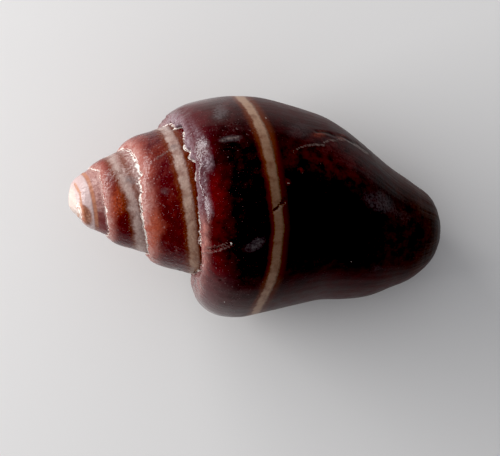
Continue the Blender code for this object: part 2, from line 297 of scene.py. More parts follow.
def profile_knots(turn):
    """Knots of the profile: suture, whorl side, next suture, base, anterior tip."""
    start, end = suture_point(turn), suture_point(turn + 1.0)
    side = end - start
    length = np.linalg.norm(side)
    outward = np.array((-side[1], side[0])) / length
    height = eased(turn, BULGE_TURNS, BULGE_SHARES) * length
    fullness = smooth(turn - FULL_FROM_TURN)
    power = BULGE_POWERS[0] + (BULGE_POWERS[1] - BULGE_POWERS[0]) * fullness
    peak = BULGE_PEAKS[0] + (BULGE_PEAKS[1] - BULGE_PEAKS[0]) * fullness
    knots = [start]
    for x in BULGE_STATIONS:
        knots.append(start + side * x + outward * height * bulge_height(x, power, peak))
    knots.append(end + outward * length * eased(turn, LIFT_TURNS, LIFT_SHARES))
    for station, share in zip(BASE_STATIONS, eased(turn, BASE_TURNS, BASE_SHARES)):
        knots.append(np.array((end[0] + station * (NOSE_ALONG - end[0]), share * end[1])))
    knots.append(np.array((NOSE_ALONG, 0.0)))
    return np.array(knots)


def dense_profile(turn):
    """Rounded line through the knots: points up to the next suture, and points after it."""
    knots = profile_knots(turn)
    before = 2.0 * knots[0] - knots[1]
    after = np.array((knots[-2][0], -knots[-2][1]))
    p = np.vstack((before, knots, after))
    gaps = np.maximum(np.linalg.norm(np.diff(p, axis=0), axis=1), 1e-6) ** 0.5
    t = np.concatenate(((0.0,), np.cumsum(gaps)))
    share = np.arange(PROFILE_STEPS) / PROFILE_STEPS
    pieces = []
    for i in range(1, len(knots)):
        t0, t1, t2, t3 = t[i - 1:i + 3]
        p0, p1, p2, p3 = p[i - 1:i + 3]
        x = (t1 + share * (t2 - t1))[:, None]
        a1 = (t1 - x) / (t1 - t0) * p0 + (x - t0) / (t1 - t0) * p1
        a2 = (t2 - x) / (t2 - t1) * p1 + (x - t1) / (t2 - t1) * p2
        a3 = (t3 - x) / (t3 - t2) * p2 + (x - t2) / (t3 - t2) * p3
        b1 = (t2 - x) / (t2 - t0) * a1 + (x - t0) / (t2 - t0) * a2
        b2 = (t3 - x) / (t3 - t1) * a2 + (x - t1) / (t3 - t1) * a3
        pieces.append((t2 - x) / (t2 - t1) * b1 + (x - t1) / (t2 - t1) * b2)
    line = np.vstack(pieces + [knots[-1:]])
    cut = (len(BULGE_STATIONS) + 1) * PROFILE_STEPS
    return line[:cut + 1], line[cut:]


def line_lengths(line):
    return np.concatenate(((0.0,), np.cumsum(np.linalg.norm(np.diff(line, axis=0), axis=1))))


def at_shares(line, shares):
    """Points at shares of a line's length."""
    lengths = line_lengths(line)
    at = shares * lengths[-1]
    return np.column_stack((np.interp(at, lengths, line[:, 0]), np.interp(at, lengths, line[:, 1])))


def outward_of(line):
    """Unit outward direction at each point of a profile line."""
    along = np.gradient(line, axis=0)
    normal = np.column_stack((-along[:, 1], along[:, 0]))
    return normal / np.maximum(np.linalg.norm(normal, axis=1), 1e-9)[:, None]


def callus_height(share):
    """Glaze and folds on the inner lip, thinned to nothing at the suture and the tip."""
    height = np.full_like(share, CALLUS)
    for centre, top in zip(FOLD_STATIONS, FOLD_HEIGHTS):
        height += top * smooth(1.0 - np.abs(share - centre) / FOLD_HALF_WIDTH)
    return height * smooth(share / CALLUS_START) * smooth((CALLUS_END - share) / CALLUS_END_FADE)


def place(turn, points):
    """Profile points (along, radius) turned round the axis; the turn may differ by point."""
    angle = 2.0 * math.pi * np.asarray(turn)
    along, radius = points[:, 0], points[:, 1]
    shift = -NOSE_SHIFT * smooth((along - NOSE_SHIFT_FROM) / (NOSE_SHIFT_TO - NOSE_SHIFT_FROM))
    x, y, z = along, shift + radius * np.cos(angle), radius * np.sin(angle)
    lean = SPIRE_LEAN * (1.0 - smooth((along - SPIRE_LEAN_LENGTH) / SPIRE_LEAN_LENGTH))
    dx = x - SPIRE_LEAN_ABOUT
    x, y = (SPIRE_LEAN_ABOUT + dx * np.cos(lean) - y * np.sin(lean),
            dx * np.sin(lean) + y * np.cos(lean))
    return np.column_stack((x, y, z))


# The fine surface

def suture_jag(turn):
    """How far the ragged suture stands off its smooth line, along the spire's side."""
    size = suture_point(turn)[1]
    at = np.array([[turn * 34.0]])
    ragged = noise(at, 11) * 0.6 + noise(at * 2.3, 12) * 0.45 + noise(at * 5.1, 13) * 0.3
    ragged = ragged * (0.35 + 1.1 * abs(noise(at * 0.31, 14)))
    fade = 1.0 - smooth((turn - LIP_TURN) / 0.02)
    return float(ragged[0]) * JAG_SHARE * size * fade


def suture_slide(turn):
    """How far the suture strays, in slower waves."""
    fade = 1.0 - smooth((turn - LIP_TURN) / 0.02)
    return float(np.interp(turn, SLIDE_TURNS, SLIDES)) * fade


class Surface:
    """Vertices, the facts about them that the relief and the paint need, and faces."""

    names = ("turn", "past", "left", "slid", "base", "inside")

    def __init__(self):
        self.points = []
        self.facts = {name: [] for name in self.names}
        self.faces = []

    def add(self, points, *facts):
        first = len(self.points)
        self.points.extend(points)
        for name, values in zip(self.names, facts):
            self.facts[name].extend(np.broadcast_to(values, len(points)))
        return list(range(first, first + len(points)))

    def face(self, *corners):
        corners = tuple(dict.fromkeys(corners))
        if len(corners) >= 3:
            self.faces.append(corners)

    def strip(self, low, high):
        """Faces between two rows with equally many vertices, as far as the shorter goes."""
        for j in range(min(len(low), len(high)) - 1):
            self.face(low[j], high[j], high[j + 1], low[j + 1])

    def ladder(self, low, high):
        """Triangles between two rows with different numbers of vertices."""
        a, b = 0, 0
        while a < len(low) - 1 or b < len(high) - 1:
            a_next = (a + 1) / max(len(low) - 1, 1) <= (b + 1) / max(len(high) - 1, 1)
            if b == len(high) - 1 or (a < len(low) - 1 and a_next):
                self.face(low[a], high[b], low[a + 1])
                a += 1
            else:
                self.face(low[a], high[b], high[b + 1])
                b += 1


def side_columns(turn):
    return SIDE_COLUMNS[int(np.searchsorted(COLUMN_TURNS, turn, side="right"))]


def outer_profile(turn, whole):
    """One growth line: its points, distances past and before the sutures, and base shares."""
    side, base = dense_profile(turn)
    side_length, base_length = line_lengths(side)[-1], line_lengths(base)[-1]
    shares = np.linspace(0.0, 1.0, side_columns(turn) + 1) ** 1.15
    points = at_shares(side, shares)
    past = shares * side_length
    base_share = np.zeros(len(past))
    if whole:
        shares = np.linspace(0.0, 1.0, BASE_COLUMNS + 1)[1:]
        base_points = at_shares(base, shares)
        fade = 1.0 - smooth((turn - (LIP_TURN - 1.0)) / CALLUS_TURNS)
        base_points += outward_of(base_points) * (callus_height(shares) * fade)[:, None]
        base_points[-1] = (NOSE_ALONG, 0.0)
        points = np.vstack((points, base_points))
        past = np.concatenate((past, side_length + shares * base_length))
        base_share = np.concatenate((base_share, shares))
    left = side_length - past
    side_way = np.array((SUTURE_ALONG, SUTURE_RADIUS)) / math.hypot(SUTURE_ALONG, SUTURE_RADIUS)
    size = np.clip(suture_point(turn)[1] / SUTURE_RADIUS * 1.5, 0.1, 1.0)
    slid = np.zeros(len(past))
    for at, off in ((turn, past), (turn + 1.0, np.abs(left))):
        slid += suture_slide(at) * (1.0 - smooth(off / (SLIDE_REACH * size)))
        slid += suture_jag(at) * (1.0 - smooth(off / (JAG_REACH * size)))
    return points + side_way * slid[:, None], past, left, slid, base_share


def grow_outside(surface):
    """Apex, spire, body whorl and rounded lip; returns the rows of both lips."""
    row_count = round(ROW_COUNT / ROWS_PER_TURN * FINE_ROWS_PER_TURN)
    first_whole = row_count - FINE_ROWS_PER_TURN
    rows, nose = [], None
    for i in range(row_count + 1):
        turn = max(LIP_TURN - (row_count - i) / FINE_ROWS_PER_TURN, FIRST_TURN)
        whole = i >= first_whole
        points, past, left, slid, base = outer_profile(turn, whole)
        start = 0 if i < FINE_ROWS_PER_TURN else 1
        stop = len(points) - 1 if nose is not None else len(points)
        keep = slice(start, stop)
        facts = [fact[keep] for fact in (past, left, slid, base)]
        row = surface.add(place(turn, points)[keep], turn, *facts, 0.0)
        if start:
            older = rows[i - FINE_ROWS_PER_TURN]
            row.insert(0, older[side_columns(max(turn - 1.0, FIRST_TURN))])
        if nose is not None:
            row.append(nose)
        elif whole:
            nose = row[-1]
        rows.append(row)
        if i and len(rows[i - 1]) == len(row) or i == first_whole:
            surface.strip(rows[i - 1], row)
        elif i:
            surface.ladder(rows[i - 1], row)

    # Rounded edge of the outer lip
    normals = outward_of(points)
    last = len(points) - 1
    steps = np.arange(1, last) / last
    ends = smooth(np.minimum(steps / LIP_END_SHARES[0], (1.0 - steps) / LIP_END_SHARES[1]))
    keep = slice(1, last)
    facts = [fact[keep] for fact in (past, left, slid, base)]
    for advance, inset in LIP_ROUNDING:
        turn = LIP_TURN + advance * ends / np.maximum(points[keep, 1], 1.0) / (2.0 * math.pi)
        moved = points[keep] - normals[keep] * (inset * ends)[:, None]
        row = surface.add(place(turn, moved), LIP_TURN, *facts, 0.0)
        rows.append([rows[row_count][0]] + row + [nose])
        surface.strip(rows[-2], rows[-1])

    # Apex: a low fan over the first turn, and the small step beside it
    centre = rows[0][0]
    for i in range(1, FINE_ROWS_PER_TURN):
        surface.face(centre, rows[i + 1][0], rows[i][0])
    surface.face(*rows[0])
    return rows[-1], rows[first_whole][side_columns(LIP_TURN - 1.0):]


def lumen_sides(turn, depth, shares):
    """The hollow's outer and inner walls at shares of the way from suture to tip."""
    side, base = dense_profile(turn)
    outer = at_shares(np.vstack((side, base[1:])), shares)
    inner = at_shares(dense_profile(turn - 1.0)[1], shares)
    inner = inner + outward_of(inner) * callus_height(shares)[:, None]
    across = inner - outer
    gap = np.linalg.norm(across, axis=1)
    direction = across / np.maximum(gap, 1e-6)[:, None]
    wall = WALL * (1.0 - WALL_THINNED * smooth(1.0 - depth * 6.0)) * smooth((1.02 - shares) / 0.12)
    free = np.maximum(gap - wall, LUMEN_LEAST)
    taper = smooth((shares - LUMEN_SHARES[0]) / 0.07 + 0.28) ** 0.5
    closing = smooth((1.0 - shares) / 0.16) ** 0.5
    near_lip = 1.0 - smooth(depth * 8.0)
    half = free / 2.0 * taper * (closing * (1.0 - near_lip) + near_lip)
    begin, lost = LUMEN_NARROWS
    half = half * (1.0 - lost * smooth((depth - begin) / (1.0 - begin)))
    middle = inner - direction * (free / 2.0)[:, None]
    return middle - direction * half[:, None], middle + direction * half[:, None]


def grow_inside(surface, lip_row, inner_lip_row):
    """The hollow: its rows start at the lips and wind back inside."""
    low, high = LUMEN_SHARES
    outer_shares = low + np.linspace(0.0, 1.0, len(lip_row)) * (high - low)
    inner_shares = low + np.linspace(0.0, 1.0, len(inner_lip_row)) * (high - low)
    before_outer, before_inner = lip_row, inner_lip_row
    for i in range(LUMEN_ROWS + 1):
        depth = (0.002 + 0.998 * i / LUMEN_ROWS) ** 1.3
        turn = LIP_TURN - depth * LUMEN_DEPTH_TURNS
        inside = min(1.0, 0.5 + depth * 5.0)
        to_outer = lumen_sides(turn, depth, outer_shares)[0]
        to_inner = lumen_sides(turn, depth, inner_shares)[1]
        outer = surface.add(place(turn, to_outer), turn, FAR, FAR, 0.0, outer_shares, inside)
        inner = surface.add(place(turn, to_inner), turn, FAR, FAR, 0.0, inner_shares, inside)
        surface.strip(before_outer, outer)
        surface.strip(inner, before_inner)
        surface.face(before_outer[0], before_inner[0], inner[0], outer[0])
        surface.face(before_inner[-1], before_outer[-1], outer[-1], inner[-1])
        before_outer, before_inner = outer, inner
    surface.ladder(inner, outer)


def lay_down(points):
    """The solid's rest pose, standing where the solid stands."""
    ct, st = math.cos(REST_TILT), math.sin(REST_TILT)
    cr, sr = math.cos(REST_ROLL), math.sin(REST_ROLL)
    tilt = np.array(((ct, 0, st), (0, 1, 0), (-st, 0, ct)))
    roll = np.array(((1, 0, 0), (0, cr, -sr), (0, sr, cr)))
    points = points @ (tilt @ roll).T
    low, high = points.min(axis=0), points.max(axis=0)
    box_low, box_high = (np.array(c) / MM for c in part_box("shell"))
    shift = (box_low + box_high - low - high) / 2.0
    shift[2] = box_low[2] - low[2]
    return points + shift


def vertex_normals(points, faces):
    """Outward unit normals, from triangles spanned in each face."""
    corners = np.array([(f[0], f[1], f[-1]) for f in faces] + [(f[2], f[-1], f[1]) for f in faces])
    a, b, c = (points[corners[:, k]] for k in range(3))
    cross = np.cross(b - a, c - a)
    total = np.zeros_like(points)
    for k in range(3):
        for axis in range(3):
            total[:, axis] += np.bincount(corners[:, k], cross[:, axis], len(points))
    return total / np.maximum(np.linalg.norm(total, axis=1), 1e-12)[:, None]


# Marks placed by the photograph's pixels

def to_pixels(points):
    """Where the camera of this scene sees points, in the photograph's pixels."""
    middle = np.array((PHOTO_WIDTH / 2.0, PHOTO_HEIGHT / 2.0))
    axis = (middle - np.array(ORIGIN_PIXEL)) / PIXELS_PER_MM
    nearer = CAMERA_DISTANCE / (CAMERA_DISTANCE - (points[:, 2] - FOCUS_HEIGHT))
    flat = np.column_stack((points[:, 0], -points[:, 1]))
    return (flat - axis) * nearer[:, None] * PIXELS_PER_MM + middle


def line_distance(pixels, line):
    """Distance in pixels to a bent line."""
    nearest = np.full(len(pixels), 1e6)
    line = np.array(line, float)
    for a, b in zip(line[:-1], line[1:]):
        t = np.clip((pixels - a) @ (b - a) / ((b - a) @ (b - a)), 0.0, 1.0)
        off = pixels - a - t[:, None] * (b - a)
        nearest = np.minimum(nearest, np.hypot(off[:, 0], off[:, 1]))
    return nearest


def patches(pixels, marks):
    """Strength of soft oval patches."""
    strength = np.zeros(len(pixels))
    for middle, half_length, half_width, slope, power in marks:
        off = pixels - np.array(middle)
        c, s = math.cos(math.radians(slope)), math.sin(math.radians(slope))
        along = (off[:, 0] * c - off[:, 1] * s) / half_length
        across = (off[:, 0] * s + off[:, 1] * c) / half_width
        strength = np.maximum(strength, power * smooth(1.35 - np.hypot(along, across)))
    return strength


def mark_upper_side(points, normals, inside):
    """Distances to scars in mm, and strengths of patches, seen from above only."""
    seen = (normals[:, 2] > SEEN_FROM_ABOVE) & (inside < 0.1)
    pixels = to_pixels(points)
    wander = np.column_stack((rough(points * 3.0, 31), rough(points * 3.0, 41)))
    shaken = pixels + wander * 1.6
    marks = {}
    for name, lines in (("scar", SCARS), ("pale_line", PALE_LINES), ("brown_line", BROWN_LINES),
                        ("notch", NOTCHES)):
        distance = np.min([line_distance(shaken, line) for line in lines], axis=0)
        marks[name] = np.where(seen, distance / PIXELS_PER_MM, FAR)
    frayed = pixels + np.column_stack((rough(points * 9.0, 91), rough(points * 9.0, 95))) * 1.3
    for name, spots in (("pit", PITS), ("speck", SPECKS)):
        distance = np.full(len(points), FAR)
        for middle, radius in spots:
            off = np.linalg.norm(frayed - np.array(middle), axis=1) - radius
            distance = np.minimum(distance, off / PIXELS_PER_MM)
        marks[name] = np.where(seen, distance, FAR)
    soft = pixels + np.column_stack((rough(points * 1.2, 51), rough(points * 1.2, 61))) * 3.0
    for name, spots in (("soft", SOFT_MARKS), ("orange", ORANGE_PATCHES), ("glow", GLOW_PATCHES),
                        ("wear_highlight_patch", WEAR_AND_HIGHLIGHT_PATCHES)):
        marks[name] = np.where(seen, patches(soft, spots), 0.0)
    return marks


def relief(points, facts, marks):
    """How far each vertex stands off the smooth form, in mm."""
    turn, past, base, inside = (facts[name] for name in ("turn", "past", "base", "inside"))
    outside = 1.0 - smooth(inside * 4.0)
    size = TURN_GROWTH ** (turn - SCALE_TURN)
    near_suture = 1.0 - smooth(past / (0.7 * size))
    shoulder = smooth(past / 0.15) * (1.0 - smooth(past / (2.6 * size)))
    body = smooth((turn - 3.2) / 0.8)
    growth = np.column_stack((turn * 90.0, past * 0.35))
    lines = noise(growth, 71) * 0.6 + noise(growth * (2.7, 1.0), 72) * 0.5
    wrinkles = rough(np.column_stack((turn * 50.0 + past * 0.5, past * 1.3)), 73)
    height = SWELL * rough(points * 0.45, 74, 2) * size
    height = height + GROWTH_LINE * lines * (1.0 + 1.5 * smooth((base - 0.6) / 0.3))
    height = height + WRINKLE * wrinkles * shoulder * (0.4 + 0.6 * body)
    folds = rough(np.column_stack((turn * 34.0 + past * 0.7, past * 1.7)), 79, 3)
    height = height + FOLD * folds * smooth(past / 0.25) * (1.0 - smooth(past / 1.9)) * body
    crumb = SHOULDER_CRUMB * np.clip(1.7 * size - 0.35, 0.1, 1.0)
    height = height + crumb * rough(points * 5.0, 75) * near_suture
    cords = np.sin(past * 2.0 * math.pi / CORD_SPACING + 0.8 * noise(points * 0.8, 76))
    height = height + CORD * cords * smooth((base - 0.62) / 0.2) * smooth((0.995 - base) / 0.05)
    height = height + APEX_WEAR * rough(points * 4.0, 77) * (1.0 - smooth((turn - 1.2) / 0.6))
    groove = np.exp(-((marks["scar"] / GROOVE_HALF_WIDTH) ** 2))
    banks = np.exp(-(((marks["scar"] - 2.2 * GROOVE_HALF_WIDTH) / GROOVE_HALF_WIDTH) ** 2))
    height = height - GROOVE_DEPTH * groove + 0.35 * GROOVE_DEPTH * banks
    height = height + PALE_RIDGE * np.exp(-((marks["pale_line"] / GROOVE_HALF_WIDTH) ** 2))
    height = height - PIT_DEPTH * smooth(-marks["pit"] / 0.08)
    height = height - NOTCH_DEPTH * smooth((0.13 - marks["notch"]) / 0.11)
    height = height - SOFT_DEPTH * marks["soft"] * (0.6 + 0.4 * rough(points * 4.0, 78))
    height = height * smooth(base * -40.0 + 40.0)
    return height * outside


# Materials

class Paint:
    """Short ways to add shader nodes."""

    def __init__(self, material):
        material.use_nodes = True
        self.nodes = material.node_tree.nodes
        self.links = material.node_tree.links
        self.surface = self.nodes["Principled BSDF"]

    def put(self, socket, value):
        if isinstance(value, bpy.types.NodeSocket):
            self.links.new(value, socket)
        elif isinstance(value, tuple) and len(value) == 3 and socket.type == "RGBA":
            socket.default_value = value + (1.0,)
        else:
            socket.default_value = value

    def fact(self, name):
        node = self.nodes.new("ShaderNodeAttribute")
        node.attribute_name = name
        return node.outputs["Fac"]

    def math(self, operation, a, b=0.0):
        node = self.nodes.new("ShaderNodeMath")
        node.operation = operation
        self.put(node.inputs[0], a)
        self.put(node.inputs[1], b)
        return node.outputs[0]

    def times(self, first, *others):
        """Product of sockets and numbers."""
        for other in others:
            first = self.math("MULTIPLY", first, other)
        return first

    def centred(self, value, middle, scale):
        """Noise moved to lie on both sides of nought, and scaled."""
        return self.times(self.math("SUBTRACT", value, middle), scale)

    def step(self, value, low, high, to_low=0.0, to_high=1.0):
        """Smooth rise from to_low to to_high as value goes from low to high."""
        node = self.nodes.new("ShaderNodeMapRange")
        node.interpolation_type = "SMOOTHSTEP"
        for name, number in (("Value", value), ("From Min", low), ("From Max", high),
                             ("To Min", to_low), ("To Max", to_high)):
            self.put(node.inputs[name], number)
        return node.outputs["Result"]

    def mix(self, factor, a, b):
        node = self.nodes.new("ShaderNodeMix")
        node.data_type = "RGBA"
        self.put(node.inputs["Factor"], factor)
        self.put(node.inputs["A"], a)
        self.put(node.inputs["B"], b)
        return node.outputs["Result"]

    def vector(self, x, y, z=0.0):
        node = self.nodes.new("ShaderNodeCombineXYZ")
        for socket, value in zip(node.inputs, (x, y, z)):
            self.put(socket, value)
        return node.outputs[0]

    def place_mm(self):
        """Place on the object in millimetres."""
        where = self.nodes.new("ShaderNodeTexCoord").outputs["Object"]
        node = self.nodes.new("ShaderNodeVectorMath")
        node.operation = "SCALE"
        self.links.new(where, node.inputs[0])
        node.inputs["Scale"].default_value = 1.0 / MM
        return node.outputs["Vector"]

    def noise(self, vector, scale, detail=3.0, roughness=0.55):
        node = self.nodes.new("ShaderNodeTexNoise")
        self.put(node.inputs["Vector"], vector)
        node.inputs["Scale"].default_value = scale
        node.inputs["Detail"].default_value = detail
        node.inputs["Roughness"].default_value = roughness
        return node.outputs["Fac"]

    def bump(self, height, distance_mm, normal=None):
        node = self.nodes.new("ShaderNodeBump")
        node.inputs["Distance"].default_value = distance_mm * MM
        self.put(node.inputs["Height"], height)
        if normal is not None:
            self.put(node.inputs["Normal"], normal)
        return node.outputs["Normal"]


NEAR_BLACK = (0.0034, 0.0007, 0.0007)
MAROON = (0.030, 0.0040, 0.0045)
# Lighter maroon round the body's sides; the near black on its upper side is painted shade
SIDE_MAROON = (0.050, 0.0090, 0.0080)
# Red near the shoulder: painted glow of light through the shell
SHOULDER_PAINTED_GLOW = (0.075, 0.0040, 0.0070)
# Red and brown of the glow patches: painted glow of light through the shell
RED = (0.115, 0.0050, 0.0050)
BROWN_GLOW = (0.072, 0.0155, 0.0145)
BRICK = (0.225, 0.043, 0.029)
WINE = (0.068, 0.0055, 0.0070)
ORANGE = (0.31, 0.052, 0.018)
APEX_ORANGE = (0.66, 0.30, 0.15)
# The band where the body faces up, darker as painted shade
CREAM_IN_PAINTED_SHADE = (0.235, 0.135, 0.085)
PALE_CREAM = (0.35, 0.220, 0.150)
GREY_CREAM = (0.40, 0.295, 0.260)
FRINGE = (0.120, 0.026, 0.008)
OLIVE = (0.060, 0.026, 0.012)
# Pale wear colours, also painting the highlight on the shoulders
PINK_WEAR_AND_HIGHLIGHT = (0.42, 0.235, 0.205)
LILAC_WEAR_AND_HIGHLIGHT = (0.280, 0.205, 0.230)
WARM_WEAR_AND_HIGHLIGHT = (0.49, 0.200, 0.160)
# Greyed maroon on the body's low side: painted reflection
LOW_SIDE_PAINTED_REFLECTION = (0.100, 0.043, 0.044)
WORN_SPIRE = (0.52, 0.385, 0.350)
# Pale scuffs and painted reflections
PALE_SCUFF_AND_REFLECTION = (0.13, 0.110, 0.112)
DUSTY_LINE = (0.17, 0.120, 0.105)
CRUMB = (0.74, 0.68, 0.62)
# Pale dots painted as glints
PAINTED_GLINT = (0.50, 0.36, 0.34)
APEX_CREAM = (0.61, 0.485, 0.43)
LILAC = (0.53, 0.40, 0.385)
STRIPE_BROWN = (0.43, 0.185, 0.110)
ROSE_BROWN = (0.17, 0.045, 0.045)
BROWN_LINE = (0.42, 0.17, 0.08)
GROOVE_BROWN = (0.012, 0.005, 0.004)
NOTCH_BROWN = (0.050, 0.018, 0.008)
PIT_BROWN = (0.018, 0.006, 0.004)
INNER_PALE = (0.42, 0.30, 0.27)
INNER_BROWN = (0.14, 0.055, 0.045)


# Noises per mm, bump heights in mm, gloss, and the turn at which the body faces up, where shade is
# painted
BLOTCH_SCALE = 0.55
PATCH_SCALE = 1.7
CREST_SCALE = 2.8
PEBBLE_SCALE = 4.5
CRUMBLE_SCALE = 6.0
GRAIN_SCALE = 9.0
DOT_SCALE = 13.0
STREAKS_PER_TURN = 130.0
STREAK_BUMP = 0.007
GRAIN_BUMP = 0.004
PEBBLE_BUMP = 0.035
CREST_BUMP = 0.075
SPECULAR = 0.24
DULLNESS = 0.35
TOP_TURN = 4.27


class ShellPaint(Paint):
    """The shell's look, laid on in layers. A step's numbers are where it starts and ends, in
    turns or mm or noise, and the strengths it goes between."""

    def __init__(self, material):
        super().__init__(material)
        self.spot = self.place_mm()
        self.turn, self.past, self.left = self.fact("turn"), self.fact("past"), self.fact("left")
        self.base, self.inside = self.fact("base"), self.fact("inside")
        self.orange = self.fact("orange")
        self.size = self.step(self.turn, 1.0, 4.5, 0.3, 1.0)
        self.patchy = self.noise(self.spot, PATCH_SCALE, 4.0)
        self.grain = self.noise(self.spot, GRAIN_SCALE, 3.0, 0.65)
        self.crumble = self.noise(self.spot, CRUMBLE_SCALE, 4.0, 0.7)
        along = self.times(self.past, 0.45)
        self.streaks = self.noise(self.vector(self.times(self.turn, STREAKS_PER_TURN), along), 1.0)
        self.waver = self.centred(self.noise(self.spot, BLOTCH_SCALE, 2.0), 0.5, 3.0)
        self.on_body = self.step(self.turn, 3.85, 4.05)
        self.from_top = self.math("ABSOLUTE", self.math("SUBTRACT", self.turn, TOP_TURN))
        self.colour = None

    def cover(self, strength, colour):
        """Lay a colour over what is there."""
        self.colour = self.mix(strength, self.colour, colour)

    def lay_ground(self):
        """Brick spire, maroon body painted near black as shade on its upper side, olive at the tip.
        """
        patchy, past, turn = self.patchy, self.past, self.turn
        down = self.math("ADD", self.math("DIVIDE", past, self.size), self.waver)
        wine = self.times(self.step(down, 0.6, 2.0), self.step(turn, 2.04, 2.28, 0.35, 1.0))
        self.colour = self.mix(wine, BRICK, WINE)
        self.cover(self.step(patchy, 0.45, 0.75, 0.0, 0.3), BRICK)
        spire = self.colour

        # Body ground: near black where it faces up, lighter maroon round the sides, as painted
        # shade
        self.colour = self.mix(self.step(patchy, 0.35, 0.90), NEAR_BLACK, MAROON)
        self.cover(self.times(self.step(self.from_top, 0.07, 0.22),
                              self.step(patchy, 0.2, 0.7, 0.5, 1.0)), SIDE_MAROON)
        # Greyed maroon low on the body's side: painted reflection
        self.cover(self.times(self.step(turn, 4.32, 4.42), self.step(past, 1.5, 5.0, 0.9, 0.0),
                              self.step(patchy, 0.25, 0.60, 0.55, 1.0)), LOW_SIDE_PAINTED_REFLECTION)
        # Red past each body suture, weaker on the low side: painted glow of light through the shell
        reach = self.math("ADD", past, self.waver)
        self.cover(self.times(self.step(reach, 1.0, 3.2, 0.8, 0.0),
                              self.step(turn, 4.34, 4.44, 1.0, 0.3)), SHOULDER_PAINTED_GLOW)
        self.colour = self.mix(self.step(turn, 3.55, 4.0), spire, self.colour)

        self.cover(self.times(self.step(self.base, 0.40, 0.95),
                              self.step(self.crumble, 0.40, 0.68, 0.2, 0.75),
                              self.step(patchy, 0.30, 0.70, 0.3, 1.0)), OLIVE)
        self.cover(self.step(self.streaks, 0.55, 0.80, 0.0, 0.15), WINE)
        # Red and brown patches: painted glow of light through the shell, with some red-brown
        # mottling
        glow = self.times(self.fact("glow"), self.step(patchy, 0.35, 0.62, 0.25, 1.0),
                          self.step(self.crumble, 0.36, 0.60, 0.55, 1.0))
        self.cover(glow, self.mix(self.step(past, 3.0, 6.0), RED, BROWN_GLOW))
        orange = self.times(self.orange, self.step(self.crumble, 0.34, 0.62, 0.25, 1.0))
        self.cover(orange, self.mix(self.step(turn, 1.5, 1.8), APEX_ORANGE, ORANGE))

    def lay_wear(self):
        """Paler wear with painted highlight past each suture, and paler ground before it on early
        whorls.
        """
        patchy, crumble, turn = self.patchy, self.crumble, self.turn
        # Wear just past each suture with painted highlight, weaker on the body's low side
        evenly = self.times(self.on_body, self.step(turn, 4.2, 4.3, 1.0, 0.0))
        broken = self.math("MAXIMUM", self.step(patchy, 0.36, 0.60, 0.45, 1.0), evenly)
        wear_with_highlight = self.times(self.step(self.math("DIVIDE", self.past, self.size), 0.3, 1.6, 1.0, 0.0),
                          self.step(crumble, 0.30, 0.66, 0.25, 1.0),
                          self.step(turn, 4.24, 4.36, 1.0, 0.4), broken,
                          self.step(self.orange, 0.1, 0.8, 1.0, 0.45))
        # Listed patches of shoulder wear with painted highlight
        rubbed_with_highlight = self.times(self.fact("wear_highlight_patch"), self.step(crumble, 0.38, 0.64, 0.2, 0.95))
        self.wear_with_highlight = self.math("MAXIMUM", wear_with_highlight, rubbed_with_highlight)
        self.cover(self.wear_with_highlight, self.mix(self.on_body, PINK_WEAR_AND_HIGHLIGHT, LILAC_WEAR_AND_HIGHLIGHT))
        # Warm pale strip low on the body's shoulder: wear with painted highlight
        self.cover(self.times(self.step(turn, 4.27, 4.32), self.step(turn, 4.34, 4.40, 1.0, 0.5),
                              self.step(self.past, 1.1, 1.95, 0.62, 0.0),
                              self.step(crumble, 0.30, 0.62, 0.35, 1.0),
                              self.step(patchy, 0.30, 0.60, 0.5, 1.0)), WARM_WEAR_AND_HIGHLIGHT)
        self.cover(self.times(self.step(self.left, 0.1, 0.9, 1.0, 0.0),
                              self.step(turn, 2.35, 2.75, 1.0, 0.0), self.step(turn, 1.6, 2.0),
                              self.step(crumble, 0.35, 0.6, 0.2, 0.85)), WORN_SPIRE)

    def lay_band(self):
        """The pale band with its fringe, darker on the upper side as painted shade, blurred on
        early whorls.
        """
        patchy, turn, half = self.patchy, self.turn, BAND_HALF_WIDTH
        uneven = self.math("ADD", self.centred(self.crumble, 0.5, 0.24),
                           self.centred(patchy, 0.5, 0.22))
        band = self.math("ADD", self.fact("band"),
                         self.times(uneven, self.step(turn, 2.9, 3.3, 2.0, 1.0)))
        fringe = self.times(self.step(band, half - 0.12, half + 0.04),
                            self.step(band, half + 0.05, half + 0.55, 1.0, 0.0),
                            self.step(turn, 4.14, 4.26, 1.0, 0.65),
                            self.step(self.crumble, 0.30, 0.60, 0.6, 1.0))
        edge = self.times(self.step(band, -half - 0.42, -half - 0.06),
                          self.step(band, -half, 0.0, 1.0, 0.0))
        self.cover(self.times(fringe, 0.85), FRINGE)
        self.cover(self.times(edge, 0.75), FRINGE)
        sharp = self.times(self.step(band, -half - 0.08, -half + 0.11),
                           self.step(band, half - 0.20, half + 0.06, 1.0, 0.0))
        blurred = self.times(self.step(band, -half - 0.20, -half + 0.30),
                             self.step(band, half - 0.40, half + 0.16, 1.0, 0.0))
        late = self.step(turn, 2.7, 3.1)
        cream = self.math("ADD", self.times(sharp, late),
                          self.times(blurred, self.math("SUBTRACT", 1.0, late)))
        # Band darker where the body faces up: painted shade
        tint = self.mix(self.step(self.from_top, 0.06, 0.17), CREAM_IN_PAINTED_SHADE, PALE_CREAM)
        tint = self.mix(self.step(turn, 3.05, 3.45), GREY_CREAM, tint)
        tint = self.mix(self.step(patchy, 0.30, 0.60, 0.40, 0.0), tint, FRINGE)
        tint = self.mix(self.step(self.streaks, 0.50, 0.80, 0.0, 0.15), tint, FRINGE)
        self.cover(self.times(cream, self.step(turn, 1.5, 2.1, 0.35, 1.0),
                              self.step(patchy, 0.25, 0.5, 0.75, 0.95),
                              self.step(self.grain, 0.30, 0.55, 0.82, 1.0)), tint)

    def lay_marks(self):
        """Pale scuffs and painted reflections, scars, pits, specks and fine dots painted as glints.
        """
        crumble, scar = self.crumble, self.fact("scar")
